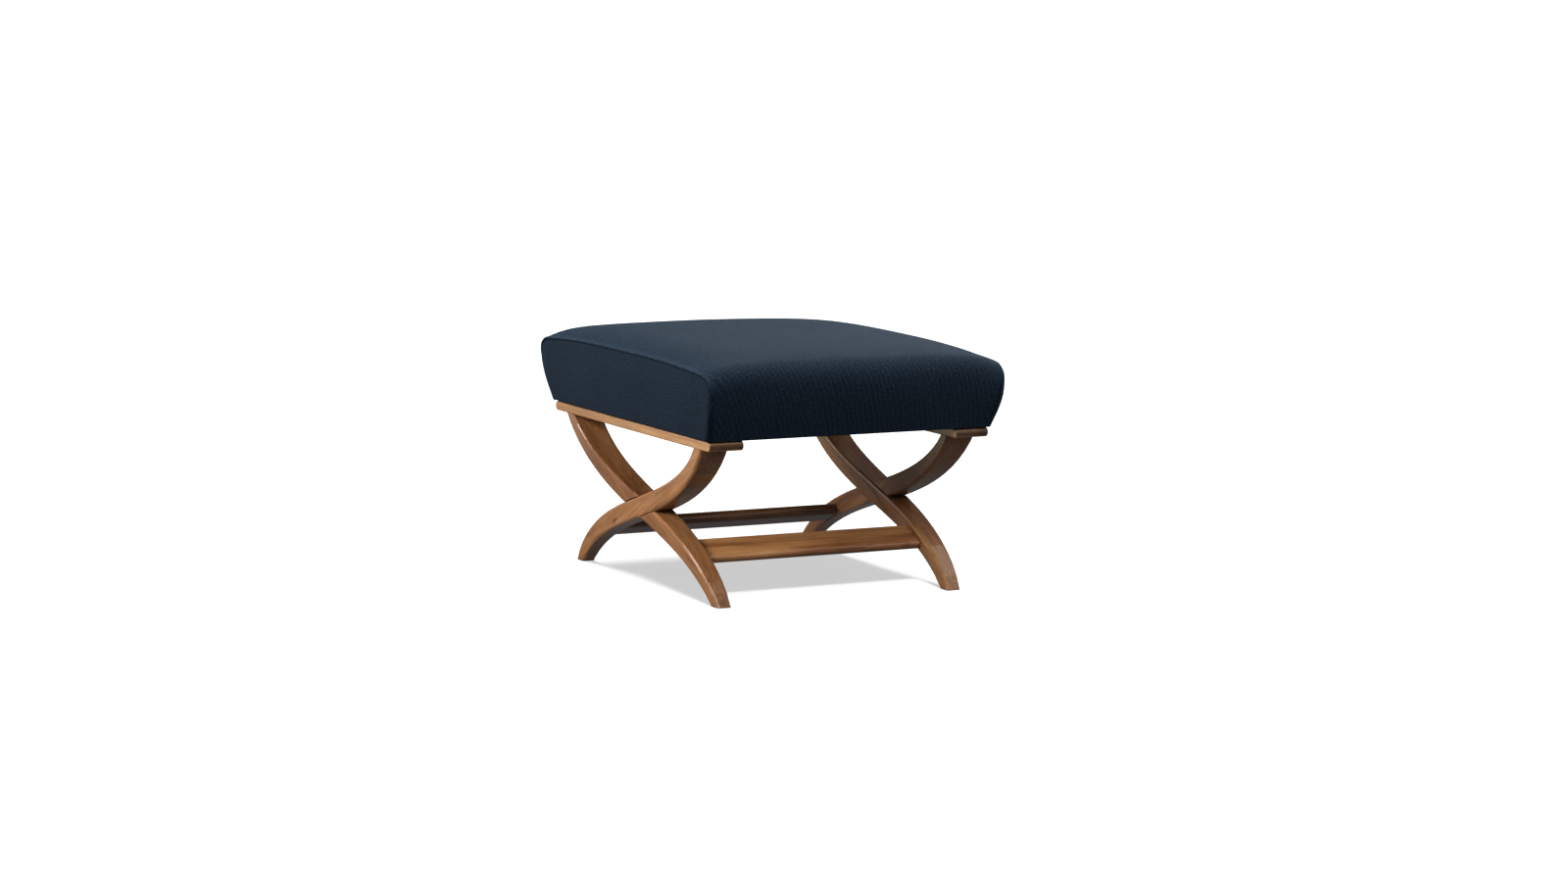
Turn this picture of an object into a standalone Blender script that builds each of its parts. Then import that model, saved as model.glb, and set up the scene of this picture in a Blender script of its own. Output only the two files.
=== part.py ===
"""Pouf: an upholstered footstool on two crossed-leg side frames.

Each side frame is a pair of ogee legs, halved across each other, under a flat
rail. Two moulded stretchers, tilted with the legs, tie the frames together.
The seat is a box frame with webbing, hessian, foam and a sewn cover.
Metres, +Z up, +X along the front from left to right, the front faces -Y.
The origin is on the floor, under the middle of the seat.
"""
import bmesh
import bpy
from math import atan2, cos, pi, radians, sin, tan
from mathutils import Matrix, Vector

# Fits
clearance = 0.0003
overrun = 0.006

# Side frames
frame_height = 0.280
rail_thickness = 0.0162
rail_width = 0.0640
rail_past_leg = 0.0340
rail_arris = 0.0022
rail_end_round = 0.0070
rail_end_steps = 4
rail_outer_face = 0.2656
leg_inner_face = 0.2062
back_leg_step = 0.0030
foot_outer_face = 0.2334
leg_below_rail_edge = 0.0028

# The leg's middle line: a cubic curve from its top at one end of the rail,
# through the crossing, to its foot under the other end
leg_top_reach = 0.2449
leg_upper_bend_reach = 0.1483
leg_lower_bend_reach = 0.1377
leg_foot_reach = 0.2543
leg_height_shares = (1.0167, 0.4605, 0.5453, 0.0114)
leg_end_thickness = 0.0219
leg_middle_swell = 0.0131
leg_arris = 0.0050
foot_arris_share = 0.35
leg_run_past_share = 0.09
leg_steps = 30

# Stretchers
stretcher_place_share = 0.77
stretcher_set_in = 0.0045
stretcher_flat_width = 0.0500
stretcher_thickness = 0.0180
stretcher_quirk = 0.0014
stretcher_nose_out = 0.0036
stretcher_nose_drop = 0.0065
stretcher_under_cut = 0.0080

# Dowels
dowel_diameter = 0.0080
dowel_chamfer = 0.0010
rail_dowel_in_rail = 0.0090
rail_dowel_in_leg = 0.0140
rail_dowel_spacing = 0.0260
rail_dowel_lean = 0.0050
stretcher_dowel_in_leg = 0.0130
stretcher_dowel_in_board = 0.0220
stretcher_dowel_spacing = 0.0280

# Seat outline
seat_past_rail_end = 0.0011
seat_past_rail_side = 0.0059
shoulder_overhang = 0.0320
shoulder_rise = 0.1032
seam_crown = 0.0142
seam_crown_power = 3
panel_crown = 0.0236
panel_crown_power = 6
shoulder_round = 0.0200
side_flare = 0.0138
seat_columns = 14

# Seat frame
board_height = 0.0400
end_board_thickness = 0.0240
side_board_thickness = 0.0320
board_inset_end = 0.0082
board_inset_side = 0.0072
board_arris = 0.0020
corner_block_leg = 0.0480
corner_block_height = 0.0300

# Screws that hold the rails to the seat frame
screw_length = 0.0400
screw_core_diameter = 0.0032
screw_thread_diameter = 0.0045
screw_head_diameter = 0.0086
screw_head_depth = 0.0042
screw_thread_pitch = 0.0040
screw_from_rail_edge = 0.0180
screw_spacing = 0.1600

# Webbing and hessian
strap_width = 0.0500
strap_thickness = 0.0015
strap_wave = 0.0014
strap_end_margin = 0.0040
hessian_thickness = 0.0008
hessian_margin = 0.0060
straps_front_to_back = 4
straps_side_to_side = 4

# Cover and dust cloth
cover_thickness = 0.0012
hem_width = 0.0220
seam_gap = 0.0004
dust_cloth_thickness = 0.0006
dust_cloth_margin = 0.0100

# Worked out from the sizes above
leg_height = frame_height - rail_thickness - clearance
rail_half_length = leg_top_reach + rail_past_leg + leg_end_thickness * 0.6
leg_outer_top = rail_outer_face - leg_below_rail_edge
crossing_height = leg_height * 0.5
dust_cloth_bottom = frame_height + clearance
seat_bottom = dust_cloth_bottom + dust_cloth_thickness + clearance
seat_half_length = rail_half_length + seat_past_rail_end
seat_half_width = rail_outer_face + seat_past_rail_side
board_bottom = seat_bottom + cover_thickness + clearance
board_top = board_bottom + board_height
end_board_face = seat_half_length - board_inset_end
side_board_face = seat_half_width - board_inset_side
strap_level = board_top + clearance + strap_thickness / 2
hessian_bottom = strap_level + strap_wave + strap_thickness / 2 + clearance
foam_bottom = hessian_bottom + hessian_thickness + clearance
side_names = {-1: "left", 1: "right"}
foot_names = {-1: "front", 1: "back"}


def clear_scene():
    for old in list(bpy.data.objects):
        bpy.data.objects.remove(old, do_unlink=True)


def new_collection(name):
    collection = bpy.data.collections.new(name)
    bpy.context.scene.collection.children.link(collection)
    return collection


def make_material(name, colour, roughness, metallic=0.0):
    material = bpy.data.materials.new(name)
    material.use_nodes = True
    shader = material.node_tree.nodes["Principled BSDF"]
    shader.inputs["Base Color"].default_value = (*colour, 1.0)
    shader.inputs["Roughness"].default_value = roughness
    shader.inputs["Metallic"].default_value = metallic
    return material


def add_object(name, mesh, material, collection):
    piece = bpy.data.objects.new(name, mesh)
    if material:
        mesh.materials.clear()
        mesh.materials.append(material)
    collection.objects.link(piece)
    return piece


def add_cutter(name, mesh):
    cutter = add_object(name, mesh, None, cutters)
    cutter.hide_render = True
    cutter.display_type = "WIRE"
    return cutter


def finish_mesh(bm, name):
    bmesh.ops.recalc_face_normals(bm, faces=bm.faces)
    mesh = bpy.data.meshes.new(name)
    bm.to_mesh(mesh)
    bm.free()
    return mesh


def box_mesh(name, low, high):
    """A box between two corners."""
    low, high = Vector(low), Vector(high)
    bm = bmesh.new()
    bmesh.ops.create_cube(bm, size=1.0)
    bmesh.ops.scale(bm, vec=high - low, verts=bm.verts)
    bmesh.ops.translate(bm, vec=(low + high) / 2, verts=bm.verts)
    return finish_mesh(bm, name)


def rod_mesh(name, radius, start, end, sides=12):
    """A round rod from one point to another."""
    start, end = Vector(start), Vector(end)
    bm = bmesh.new()
    length = (end - start).length
    bmesh.ops.create_cone(bm, cap_ends=True, segments=sides, radius1=radius, radius2=radius, depth=length)
    turn = (end - start).to_track_quat("Z", "Y").to_matrix().to_4x4()
    bmesh.ops.transform(bm, matrix=Matrix.Translation((start + end) / 2) @ turn, verts=bm.verts)
    return finish_mesh(bm, name)


def outline_mesh(name, outline, near, far):
    """A flat outline of (y, z) points as a board that runs from x = near to x = far."""
    data = bpy.data.curves.new(name, "CURVE")
    data.dimensions = "2D"
    data.fill_mode = "BOTH"
    data.extrude = abs(far - near) / 2
    spline = data.splines.new("POLY")
    spline.points.add(len(outline) - 1)
    for point, (y, z) in zip(spline.points, outline):
        point.co = (y, z, 0, 1)
    spline.use_cyclic_u = True
    guide = bpy.data.objects.new(name, data)
    cutters.objects.link(guide)
    guide.rotation_euler = (radians(90), 0, radians(90))
    guide.location = ((near + far) / 2, 0, 0)
    bpy.context.view_layer.update()
    evaluated = guide.evaluated_get(bpy.context.evaluated_depsgraph_get())
    mesh = bpy.data.meshes.new_from_object(evaluated)
    mesh.transform(guide.matrix_world)
    bpy.data.objects.remove(guide, do_unlink=True)
    bm = bmesh.new()
    bm.from_mesh(mesh)
    bmesh.ops.remove_doubles(bm, verts=bm.verts, dist=clearance / 10)
    bmesh.ops.dissolve_limit(bm, angle_limit=radians(0.2), verts=bm.verts, edges=bm.edges)
    bm.to_mesh(mesh)
    bm.free()
    return mesh


def saw(mesh, point, normal):
    """Cuts off what lies beyond a plane and closes the cut."""
    bm = bmesh.new()
    bm.from_mesh(mesh)
    everything = bm.verts[:] + bm.edges[:] + bm.faces[:]
    bmesh.ops.bisect_plane(bm, geom=everything, dist=clearance / 30, plane_co=point, plane_no=normal,
                           clear_outer=True)
    open_edges = [edge for edge in bm.edges if edge.is_boundary]
    bmesh.ops.holes_fill(bm, edges=open_edges)
    bmesh.ops.recalc_face_normals(bm, faces=bm.faces)
    bm.to_mesh(mesh)
    bm.free()


def cut(piece, cutter):
    boolean = piece.modifiers.new(cutter.name, "BOOLEAN")
    boolean.operation = "DIFFERENCE"
    boolean.solver = "EXACT"
    boolean.object = cutter


def round_edges(piece, width, segments=2, limit="ANGLE"):
    bevel = piece.modifiers.new("rounded edges", "BEVEL")
    bevel.width = width
    bevel.segments = segments
    bevel.limit_method = limit
    bevel.angle_limit = radians(40)


def thicken(piece, thickness, offset=-1.0):
    solidify = piece.modifiers.new("thickness", "SOLIDIFY")
    solidify.thickness = thickness
    solidify.offset = offset
    solidify.solidify_mode = "NON_MANIFOLD"
    solidify.nonmanifold_thickness_mode = "CONSTRAINTS"


def shade(piece, angle=35):
    piece.data.shade_smooth()
    piece.data.set_sharp_from_angle(angle=radians(angle))


# Legs

def leg_line(share):
    """Place, direction and thickness of the leg at a share of its way from top to foot."""
    reaches = (-leg_top_reach, -leg_upper_bend_reach, leg_lower_bend_reach, leg_foot_reach)
    controls = [Vector((reach, height_share * leg_height))
                for reach, height_share in zip(reaches, leg_height_shares)]
    rest = 1 - share
    place = (controls[0] * rest ** 3 + controls[1] * 3 * rest ** 2 * share
             + controls[2] * 3 * rest * share ** 2 + controls[3] * share ** 3)
    run = ((controls[1] - controls[0]) * rest ** 2 + (controls[2] - controls[1]) * 2 * rest * share
           + (controls[3] - controls[2]) * share ** 2)
    thickness = leg_end_thickness + leg_middle_swell * 4 * share * rest
    return place, run.normalized(), thickness


def leg_outline(foot, grow=0.0):
    """The leg's side view; grow widens it for the socket that it lies in.

    Points that lie close to a saw cut are left out, so that no sliver stays beside the cut.
    """
    upper, lower = [], []
    for step in range(leg_steps + 1):
        share = -leg_run_past_share + (1 + 2 * leg_run_past_share) * step / leg_steps
        place, run, thickness = leg_line(share)
        across = Vector((-run.y, run.x)) * (thickness / 2 + grow)
        upper.append(place + across)
        lower.append(place - across)
    points = [point for point in upper + lower[::-1]
              if abs(point.y) > leg_arris and abs(point.y - leg_height) > leg_arris]
    return [(foot * point.x, point.y) for point in points]


def leg_outer_face(height):
    """The outer face is sawn to a taper, so the leg narrows towards the floor."""
    return foot_outer_face + (leg_outer_top - foot_outer_face) * height / leg_height


def inner_face_of(foot):
    return leg_inner_face + (back_leg_step if foot > 0 else 0)


def halving_plane():
    return (leg_inner_face + leg_outer_face(crossing_height)) / 2


def mark_arrises(mesh):
    """Rounds the long edges in full, eases the edge on the floor, keeps the seat on the rail sharp."""
    bm = bmesh.new()
    bm.from_mesh(mesh)
    weight = bm.edges.layers.float.new("bevel_weight_edge")
    for edge in bm.edges:
        heights = [vertex.co.z for vertex in edge.verts]
        if edge.calc_face_angle(0) < radians(40) or min(heights) > leg_height - clearance:
            continue
        edge[weight] = foot_arris_share if max(heights) < clearance else 1.0
    bm.to_mesh(mesh)
    bm.free()


def make_leg(side, foot):
    name = f"{foot_names[foot]}_{side_names[side]}_leg"
    inner = side * inner_face_of(foot)
    beyond = side * (leg_outer_top + overrun)
    mesh = outline_mesh(name, leg_outline(foot), inner, beyond)
    saw(mesh, (0, 0, 0), (0, 0, -1))
    saw(mesh, (0, 0, leg_height), (0, 0, 1))
    taper = Vector((leg_height, 0, foot_outer_face - leg_outer_top)).normalized()
    saw(mesh, (side * foot_outer_face, 0, 0), (side * taper.x, 0, taper.z))
    mark_arrises(mesh)
    leg = add_object(name, mesh, wood, parts)
    round_edges(leg, leg_arris, 3, "WEIGHT")
    leg.modifiers.new("triangles for clean cuts", "TRIANGULATE")
    # The halving: the front leg keeps its inner half at the crossing, the back leg its outer half
    meeting = halving_plane()
    if foot > 0:
        near, far = leg_inner_face - overrun, meeting + clearance / 2
    else:
        near, far = meeting - clearance / 2, leg_outer_top + overrun
    socket = outline_mesh(name + "_halving", leg_outline(-foot, clearance), side * near, side * far)
    cut(leg, add_cutter(name + "_halving", socket))
    for index, (x, y) in enumerate(rail_dowel_places(side, foot)):
        hole = rod_mesh(f"{name}_top_hole_{index}", dowel_diameter / 2 + clearance,
                        (x, y, leg_height - rail_dowel_in_leg - clearance), (x, y, leg_height + overrun))
        cut(leg, add_cutter(hole.name, hole))
    for index, (y, z) in enumerate(stretcher_dowel_places(foot)):
        start = inner + side * (stretcher_dowel_in_leg + clearance)
        hole = rod_mesh(f"{name}_side_hole_{index}", dowel_diameter / 2 + clearance,
                        (start, y, z), (inner - side * overrun, y, z))
        cut(leg, add_cutter(hole.name, hole))
    shade(leg)


# Rails

def leg_top_centre():
    """Where the leg's middle line meets the underside of the rail."""
    place, run, _ = leg_line(0)
    return place.x + run.x * (leg_height - place.y) / run.y


def rail_dowel_places(side, foot):
    """Two dowels across each leg top, set towards the side that the leg leans to."""
    reach = leg_top_centre() + rail_dowel_lean
    middle = (inner_face_of(foot) + leg_outer_top) / 2
    return [(side * (middle + half * rail_dowel_spacing / 2), foot * reach) for half in (-1, 1)]


def screw_places(side):
    x = side * (rail_outer_face - screw_from_rail_edge)
    return [(x, row * screw_spacing) for row in (-1, 0, 1)]


def rail_outline():
    """The rail's side view: a board with its ends rounded over, above and below."""
    bottom = frame_height - rail_thickness
    low, high = bottom + rail_end_round, frame_height - rail_end_round
    points = []
    for quarter, (end, height) in enumerate(((1, high), (-1, high), (-1, low), (1, low))):
        for step in range(rail_end_steps + 1):
            angle = (quarter + step / rail_end_steps) * pi / 2
            points.append((end * (rail_half_length - rail_end_round) + rail_end_round * cos(angle),
                           height + rail_end_round * sin(angle)))
    return points


def make_rail(side):
    name = f"{side_names[side]}_top_rail"
    inner = side * (rail_outer_face - rail_width)
    outer = side * rail_outer_face
    rail = add_object(name, outline_mesh(name, rail_outline(), inner, outer), wood, parts)
    round_edges(rail, rail_arris, 3)
    for foot in (-1, 1):
        for index, (x, y) in enumerate(rail_dowel_places(side, foot)):
            hole = rod_mesh(f"{name}_{foot_names[foot]}_hole_{index}", dowel_diameter / 2 + clearance,
                            (x, y, frame_height - rail_thickness - overrun),
                            (x, y, frame_height - rail_thickness + rail_dowel_in_rail + clearance))
            cut(rail, add_cutter(hole.name, hole))
    for index, (x, y) in enumerate(screw_places(side)):
        cut(rail, add_cutter(f"{name}_screw_hole_{index}", screw_hole_mesh(x, y)))
    shade(rail)


def make_rail_dowels(side, foot):
    for index, (x, y) in enumerate(rail_dowel_places(side, foot)):
        name = f"{foot_names[foot]}_{side_names[side]}_rail_dowel_{'inner' if index == 0 else 'outer'}"
        mesh = rod_mesh(name, dowel_diameter / 2, (x, y, leg_height - rail_dowel_in_leg),
                        (x, y, frame_height - rail_thickness + rail_dowel_in_rail))
        dowel = add_object(name, mesh, dowel_wood, parts)
        round_edges(dowel, dowel_chamfer, 1)
        shade(dowel)


# Stretchers

def stretcher_centre(foot):
    """The middle of the board's section, and the slope that it shares with the leg."""
    place, run, _ = leg_line(stretcher_place_share)
    slope = atan2(run.y, run.x)
    down = Vector((run.y, -run.x)) * stretcher_set_in
    return Vector((foot * (place.x + down.x), place.y + down.y)), foot * slope


def on_board(foot, along, rise):
    """A point of the tilted section, from its middle: along the slope, and square to it."""
    centre, slope = stretcher_centre(foot)
    return (centre.x + along * cos(slope) - rise * sin(slope),
            centre.y + along * sin(slope) + rise * cos(slope))


def stretcher_section():
    """Half the section: a thumbnail moulding, with a quirk below the flat top face."""
    flat = stretcher_flat_width / 2
    top = stretcher_thickness / 2
    middle = flat - stretcher_under_cut
    reach = stretcher_nose_out + stretcher_under_cut
    nose = top - stretcher_nose_drop
    start = atan2(stretcher_nose_drop - stretcher_quirk, stretcher_under_cut)
    upper = (stretcher_nose_drop - stretcher_quirk) / sin(start)
    points = [(flat, top)]
    turns = 9
    for step in range(turns + 1):
        angle = start - (start + pi / 2) * step / turns
        drop = upper if angle > 0 else stretcher_thickness - stretcher_nose_drop
        points.append((middle + reach * cos(angle), nose + drop * sin(angle)))
    return points


def stretcher_dowel_places(foot):
    return [on_board(foot, half * stretcher_dowel_spacing / 2, 0) for half in (-1, 1)]


def make_stretcher(foot):
    name = f"{foot_names[foot]}_stretcher"
    reach = inner_face_of(foot) - clearance
    half = stretcher_section()
    section = half + [(-along, rise) for along, rise in half[::-1]]
    outline = [on_board(foot, along, rise) for along, rise in section]
    board = add_object(name, outline_mesh(name, outline, -reach, reach), wood, parts)
    for side in (-1, 1):
        for index, (y, z) in enumerate(stretcher_dowel_places(foot)):
            start = side * (reach - stretcher_dowel_in_board - clearance)
            hole = rod_mesh(f"{name}_{side_names[side]}_hole_{index}", dowel_diameter / 2 + clearance,
                            (start, y, z), (side * (reach + overrun), y, z))
            cut(board, add_cutter(hole.name, hole))
    shade(board)


def make_stretcher_dowels(side, foot):
    reach = inner_face_of(foot)
    for index, (y, z) in enumerate(stretcher_dowel_places(foot)):
        place = "upper" if (index == 1) == (foot < 0) else "lower"
        name = f"{foot_names[foot]}_{side_names[side]}_stretcher_dowel_{place}"
        mesh = rod_mesh(name, dowel_diameter / 2, (side * (reach - stretcher_dowel_in_board), y, z),
                        (side * (reach + stretcher_dowel_in_leg), y, z))
        dowel = add_object(name, mesh, dowel_wood, parts)
        round_edges(dowel, dowel_chamfer, 1)
        shade(dowel)


# Screws

def turned_mesh(name, profile, x, y, sides):
    """A profile of (radius, height) points, turned round an upright axis."""
    bm = bmesh.new()
    ring = [bm.verts.new((radius, 0, height)) for radius, height in profile]
    edges = [bm.edges.new(pair) for pair in zip(ring[:-1], ring[1:])]
    bmesh.ops.spin(bm, geom=ring + edges, cent=(0, 0, 0), axis=(0, 0, 1), angle=2 * pi, steps=sides,
                   use_duplicate=False)
    bmesh.ops.remove_doubles(bm, verts=bm.verts, dist=clearance / 10)
    bmesh.ops.translate(bm, vec=(x, y, 0), verts=bm.verts)
    return finish_mesh(bm, name)


def screw_profile(grow=0.0):
    """Head down: the countersunk head is flush with the underside of the rail."""
    bottom = frame_height - rail_thickness + clearance
    neck = bottom + screw_head_depth
    return bottom, neck, screw_head_diameter / 2 + grow, screw_core_diameter / 2 + grow


def screw_hole_mesh(x, y):
    bottom, neck, head, _ = screw_profile(clearance)
    shank = screw_thread_diameter / 2 + clearance
    top = frame_height + overrun
    profile = [(0, bottom - overrun), (head + overrun / 10, bottom - overrun), (head + overrun / 10, bottom),
               (shank, neck), (shank, top), (0, top)]
    return turned_mesh("screw_hole", profile, x, y, 12)


def make_screw(side, index, x, y):
    """A countersunk wood screw: cone head, smooth neck, and a thread as stacked ridges."""
    bottom, neck, head, core = screw_profile()
    tip = bottom + screw_length
    thread_start = frame_height + cover_thickness
    ridge = screw_thread_diameter / 2
    profile = [(0, bottom), (head, bottom), (core, neck), (core, thread_start)]
    ridges = int((tip - thread_start) / screw_thread_pitch) - 1
    for turn in range(ridges):
        height = thread_start + turn * screw_thread_pitch
        profile += [(ridge, height + screw_thread_pitch * 0.5), (core, height + screw_thread_pitch)]
    profile += [(0, tip)]
    name = f"{side_names[side]}_rail_screw_{('front', 'middle', 'back')[index]}"
    screw = add_object(name, turned_mesh(name, profile, x, y, 8), steel, parts)
    slot = box_mesh(name + "_slot", (x - screw_head_diameter, y - screw_head_depth / 8, bottom - overrun),
                    (x + screw_head_diameter, y + screw_head_depth / 8, bottom + screw_head_depth / 3))
    cut(screw, add_cutter(slot.name, slot))
    shade(screw)


# Seat frame

def pilot_hole(x, y, index, side):
    profile_radius = screw_thread_diameter / 2 + clearance
    start = (x, y, board_bottom - overrun)
    end = (x, y, frame_height - rail_thickness + clearance + screw_length + clearance)
    mesh = rod_mesh(f"{side_names[side]}_pilot_{index}", profile_radius, start, end, 10)
    return add_cutter(mesh.name, mesh)


def make_seat_boards():
    """The end boards run the full width, the side boards fit between them."""
    for foot in (-1, 1):
        name = f"seat_frame_{foot_names[foot]}_board"
        near = foot * (end_board_face - end_board_thickness)
        far = foot * end_board_face
        mesh = box_mesh(name, (-side_board_face, min(near, far), board_bottom),
                        (side_board_face, max(near, far), board_top))
        board = add_object(name, mesh, frame_wood, parts)
        round_edges(board, board_arris, 1)
    for side in (-1, 1):
        name = f"seat_frame_{side_names[side]}_board"
        half_length = end_board_face - end_board_thickness - clearance
        near = side * (side_board_face - side_board_thickness)
        far = side * side_board_face
        mesh = box_mesh(name, (min(near, far), -half_length, board_bottom),
                        (max(near, far), half_length, board_top))
        board = add_object(name, mesh, frame_wood, parts)
        round_edges(board, board_arris, 1)
        for index, (x, y) in enumerate(screw_places(side)):
            cut(board, pilot_hole(x, y, index, side))


def make_corner_block(side, foot):
    """A three-cornered block glued into each inner corner of the frame."""
    name = f"corner_block_{foot_names[foot]}_{side_names[side]}"
    corner_x = side * (side_board_face - side_board_thickness - clearance)
    corner_y = foot * (end_board_face - end_board_thickness - clearance)
    bottom = board_bottom + (board_height - corner_block_height) / 2
    bm = bmesh.new()
    corners = [(corner_x, corner_y), (corner_x - side * corner_block_leg, corner_y),
               (corner_x, corner_y - foot * corner_block_leg)]
    face = bm.faces.new([bm.verts.new((x, y, bottom)) for x, y in corners])
    block = bmesh.ops.extrude_face_region(bm, geom=[face])
    top = [item for item in block["geom"] if isinstance(item, bmesh.types.BMVert)]
    bmesh.ops.translate(bm, vec=(0, 0, corner_block_height), verts=top)
    piece = add_object(name, finish_mesh(bm, name), frame_wood, parts)
    round_edges(piece, board_arris, 1)


# Webbing and hessian

def strap_rows(count, half_opening):
    """Middles of the straps, spread evenly over the opening of the frame."""
    gap = (2 * half_opening - count * strap_width) / (count + 1)
    return [-half_opening + gap + strap_width / 2 + row * (gap + strap_width) for row in range(count)]


def make_strap(name, place, reach, crossings, over_first, lengthwise):
    """One strap, woven over and under those that cross it, flat on the boards at its ends."""
    steps = 8 * len(crossings)
    pitch = crossings[1] - crossings[0]
    bm = bmesh.new()
    bmesh.ops.create_grid(bm, x_segments=steps, y_segments=1, size=0.5)
    bmesh.ops.scale(bm, vec=(2 * reach, strap_width, 1), verts=bm.verts)
    for vertex in bm.verts:
        along = vertex.co.x
        turn = (along - crossings[0]) / pitch
        wave = cos(pi * turn) * (1 if over_first else -1)
        edge = min(1.0, max(0.0, (crossings[-1] + pitch / 2 - abs(along)) / (pitch / 4)))
        vertex.co.z = strap_level + strap_wave * wave * edge
    if lengthwise:
        bmesh.ops.rotate(bm, cent=(0, 0, 0), matrix=Matrix.Rotation(radians(90), 3, "Z"), verts=bm.verts)
    shift = (place, 0, 0) if lengthwise else (0, place, 0)
    bmesh.ops.translate(bm, vec=shift, verts=bm.verts)
    strap = add_object(name, finish_mesh(bm, name), strap_cloth, parts)
    thicken(strap, strap_thickness, 0.0)
    shade(strap)


def make_webbing():
    opening_x = side_board_face - side_board_thickness
    opening_y = end_board_face - end_board_thickness
    columns = strap_rows(straps_front_to_back, opening_x)
    rows = strap_rows(straps_side_to_side, opening_y)
    for index, place in enumerate(columns):
        make_strap(f"webbing_front_to_back_{index + 1}", place, end_board_face - strap_end_margin, rows,
                   index % 2 == 0, True)
    for index, place in enumerate(rows):
        make_strap(f"webbing_side_to_side_{index + 1}", place, side_board_face - strap_end_margin, columns,
                   index % 2 == 1, False)


def make_hessian():
    half_x = side_board_face - hessian_margin
    half_y = end_board_face - hessian_margin
    mesh = box_mesh("hessian_sheet", (-half_x, -half_y, hessian_bottom),
                    (half_x, half_y, hessian_bottom + hessian_thickness))
    add_object("hessian_sheet", mesh, hessian_cloth, parts)


# Seat form

def seat_profile(inset):
    """Half of the seat's side view, from the bottom edge at the end to the middle of the top.

    The end leans out to the shoulder, turns over it in an arc, and follows the crown.
    """
    shoulder = Vector((seat_half_length + shoulder_overhang, seat_bottom + shoulder_rise))
    foot_point = Vector((seat_half_length, seat_bottom))
    lean = (shoulder - foot_point).normalized()
    drop = seam_crown_power * seam_crown / shoulder.x
    inward = Vector((-1, drop)).normalized()
    half_angle = (-lean).angle(inward) / 2
    tangent = shoulder_round / tan(half_angle)
    to_centre = (inward - lean).normalized() * shoulder_round / sin(half_angle)
    centre = shoulder + to_centre
    first = shoulder - lean * tangent - centre
    last = shoulder + inward * tangent - centre
    begin, end = atan2(first.y, first.x), atan2(last.y, last.x)
    radius = shoulder_round - inset
    across = Vector((lean.y, -lean.x))
    edge = foot_point - across * inset
    start = edge + lean * (seat_bottom - edge.y) / lean.y
    points = [start]
    lean_steps, arc_steps, crown_steps = 4, 6, 8
    arc = [centre + Vector((cos(angle), sin(angle))) * radius
           for angle in (begin + (end - begin) * step / arc_steps for step in range(arc_steps + 1))]
    points += [start.lerp(arc[0], step / lean_steps) for step in range(1, lean_steps)]
    points += arc
    top = seat_bottom + shoulder_rise + seam_crown - inset
    reach = arc[-1].x
    rise = top - arc[-1].y
    for step in range(1, crown_steps + 1):
        y = reach * (1 - step / crown_steps)
        points.append(Vector((y, top - rise * (y / reach) ** seam_crown_power)))
    return [(point.x, point.y) for point in points]


def full_profile(inset):
    """The whole side view, from the front's bottom edge over the top to the back's."""
    half = seat_profile(inset)
    return [(-y, z) for y, z in half] + half[-2::-1]


def side_face(height, inset=0.0):
    """Half the seat's width at a height: the side panels lean out a little."""
    lean = side_flare / (shoulder_rise + seam_crown)
    return seat_half_width + (height - seat_bottom) * lean - inset


def crown_at(share):
    """How much the middle of the seat stands taller than its side seams: full, with a quick fall."""
    return 1 + panel_crown / (shoulder_rise + seam_crown) * (1 - abs(share) ** panel_crown_power)


def seat_point(y, z, share, inset):
    height = z - seat_bottom
    return Vector((share * side_face(z, inset), y, seat_bottom + height * crown_at(share)))


def wrap_strip(bm, inset):
    """A strip that follows the profile from the left seam to the right one; returns its rows."""
    rows = []
    shares = [-cos(pi * column / seat_columns) for column in range(seat_columns + 1)]
    for y, z in full_profile(inset):
        rows.append([bm.verts.new(seat_point(y, z, share, inset)) for share in shares])
    for row, following in zip(rows[:-1], rows[1:]):
        for column in range(seat_columns):
            bm.faces.new((row[column], row[column + 1], following[column + 1], following[column]))
    return rows


def seat_body(name):
    """The space inside the cover as one closed form, to be sawn into the foam pieces."""
    bm = bmesh.new()
    rows = wrap_strip(bm, cover_thickness + clearance)
    first, last = rows[0], rows[-1]
    for column in range(seat_columns):
        bm.faces.new((first[column + 1], first[column], last[column], last[column + 1]))
    bm.faces.new([row[0] for row in rows])
    bm.faces.new([row[-1] for row in rows])
    return finish_mesh(bm, name)


def make_foam():
    """The foam block, crowned both ways, flat where it rests on the hessian."""
    mesh = seat_body("foam_block")
    saw(mesh, (0, 0, foam_bottom), (0, 0, -1))
    shade(add_object("foam_block", mesh, foam, parts))


def make_edge_strips():
    """Firm foam strips glued round the boards, which give the cover its lean."""
    top = foam_bottom - clearance
    for foot in (-1, 1):
        name = f"edge_foam_{foot_names[foot]}"
        mesh = seat_body(name)
        saw(mesh, (0, 0, board_bottom), (0, 0, -1))
        saw(mesh, (0, 0, top), (0, 0, 1))
        saw(mesh, (0, foot * (end_board_face + clearance), 0), (0, -foot, 0))
        shade(add_object(name, mesh, foam, parts))
    for side in (-1, 1):
        name = f"edge_foam_{side_names[side]}"
        mesh = seat_body(name)
        saw(mesh, (0, 0, board_bottom), (0, 0, -1))
        saw(mesh, (0, 0, top), (0, 0, 1))
        saw(mesh, (side * (side_board_face + clearance), 0, 0), (-side, 0, 0))
        for foot in (-1, 1):
            saw(mesh, (0, foot * end_board_face, 0), (0, foot, 0))
        shade(add_object(name, mesh, foam, parts))


# Cover

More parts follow.
